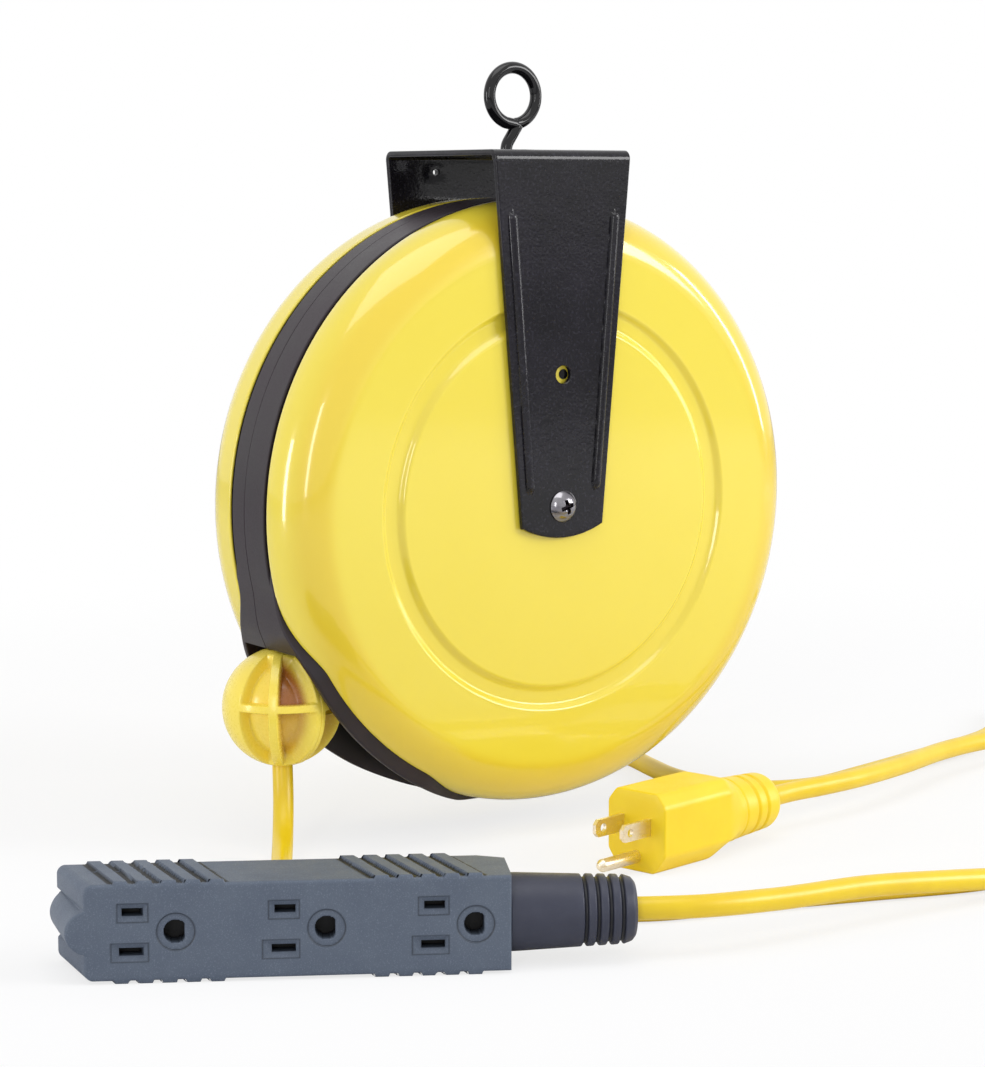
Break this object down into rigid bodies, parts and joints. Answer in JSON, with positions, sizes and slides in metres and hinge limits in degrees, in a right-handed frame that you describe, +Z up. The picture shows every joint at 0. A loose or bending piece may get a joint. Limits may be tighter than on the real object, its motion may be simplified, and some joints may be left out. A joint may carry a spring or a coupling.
{
  "type": "retractable extension cord reel",
  "caption": "round wall or ceiling cord reel in a steel yoke, with a sprung spool, ratchet, ball stop, grounded outlet block and grounded plug",
  "frame": {"origin": "centre of the eye that the reel hangs by", "axes": "+Z up, the reel's axle along Y, front cover towards -Y, cord mouth towards -X and down"},
  "size_m": [0.6184, 0.3855, 0.2962],
  "materials": {
    "yellow_enamel": "gloss enamel",
    "black_enamel": "gloss enamel with a fine orange-peel texture",
    "charcoal_plastic": "satin moulded",
    "chrome_screw": "bright plated",
    "zinc_steel": "zinc plated",
    "plain_steel": "bright steel",
    "spring_steel": "blued spring steel",
    "black_plastic": "phenolic, satin",
    "pale_plastic": "satin moulded",
    "contact_brass": "plain brass",
    "blade_brass": "polished brass",
    "lead_cover": "vinyl core insulation",
    "yellow_cord": "satin vinyl",
    "yellow_plastic": "gloss moulded",
    "yellow_rubber": "satin vinyl",
    "slate_plastic": "fine-grained satin",
    "slate_rubber": "satin vinyl",
    "black_rubber": "satin rubber"
  },
  "bodies": {
    "housing": {"eye_bolt": "black_enamel", "eye_nut": "zinc_steel", "eye_washer": "zinc_steel", "yoke": "black_enamel", "front_axle_screw": "chrome_screw", "rear_axle_screw": "chrome_screw", "front_cover": "yellow_enamel", "rear_cover": "yellow_enamel", "front_rim_band": "charcoal_plastic", "rear_rim_band": "charcoal_plastic", "axle": "plain_steel", "axle_spacers": "zinc_steel", "pawl_plate": "plain_steel", "pawl_pin": "zinc_steel", "pawl_spring": "zinc_steel", "spring_arbor": "plain_steel", "power_spring": "spring_steel", "contact_block": "black_plastic", "contact_screws": "zinc_steel", "line_finger": "contact_brass", "neutral_finger": "contact_brass", "ground_finger": "contact_brass", "supply_leads": "lead_cover", "outlet_cord": "yellow_cord", "outer_ball_half": "yellow_plastic", "inner_ball_half": "yellow_plastic", "ball_screws": "zinc_steel", "block_front": "slate_plastic", "block_back": "slate_plastic", "block_screws": "zinc_steel", "block_sleeve": "slate_rubber", "line_bar": "contact_brass", "neutral_bar": "contact_brass", "ground_bar": "contact_brass", "supply_gland": "black_rubber", "supply_cord": "yellow_cord", "plug_body": "yellow_rubber", "line_blade": "blade_brass", "neutral_blade": "blade_brass", "ground_pin": "blade_brass"},
    "spool": {"drum": "pale_plastic", "front_flange": "pale_plastic", "rear_flange": "pale_plastic", "flange_screws": "zinc_steel", "front_bush": "pale_plastic", "rear_bush": "pale_plastic", "ratchet_wheel": "plain_steel", "slip_ring_disc": "black_plastic", "line_ring": "contact_brass", "neutral_ring": "contact_brass", "ground_ring": "contact_brass", "wound_cord": "yellow_cord"},
    "pawl": {"pawl": "plain_steel"}
  },
  "joints": [
    {"name": "spool_spin", "type": "hinge", "parent": "housing", "child": "spool", "pos_m": [-0.003, 0, -0.155], "axis": [0, -1, 0], "continuous": true},
    {"name": "pawl_pivot", "type": "hinge", "parent": "housing", "child": "pawl", "pos_m": [0.022, 0, -0.1117], "axis": [0, -1, 0], "range_deg": [0, 14], "stiffness_Nm_per_rad": 0.02, "springref_deg": -20.05}
  ]
}
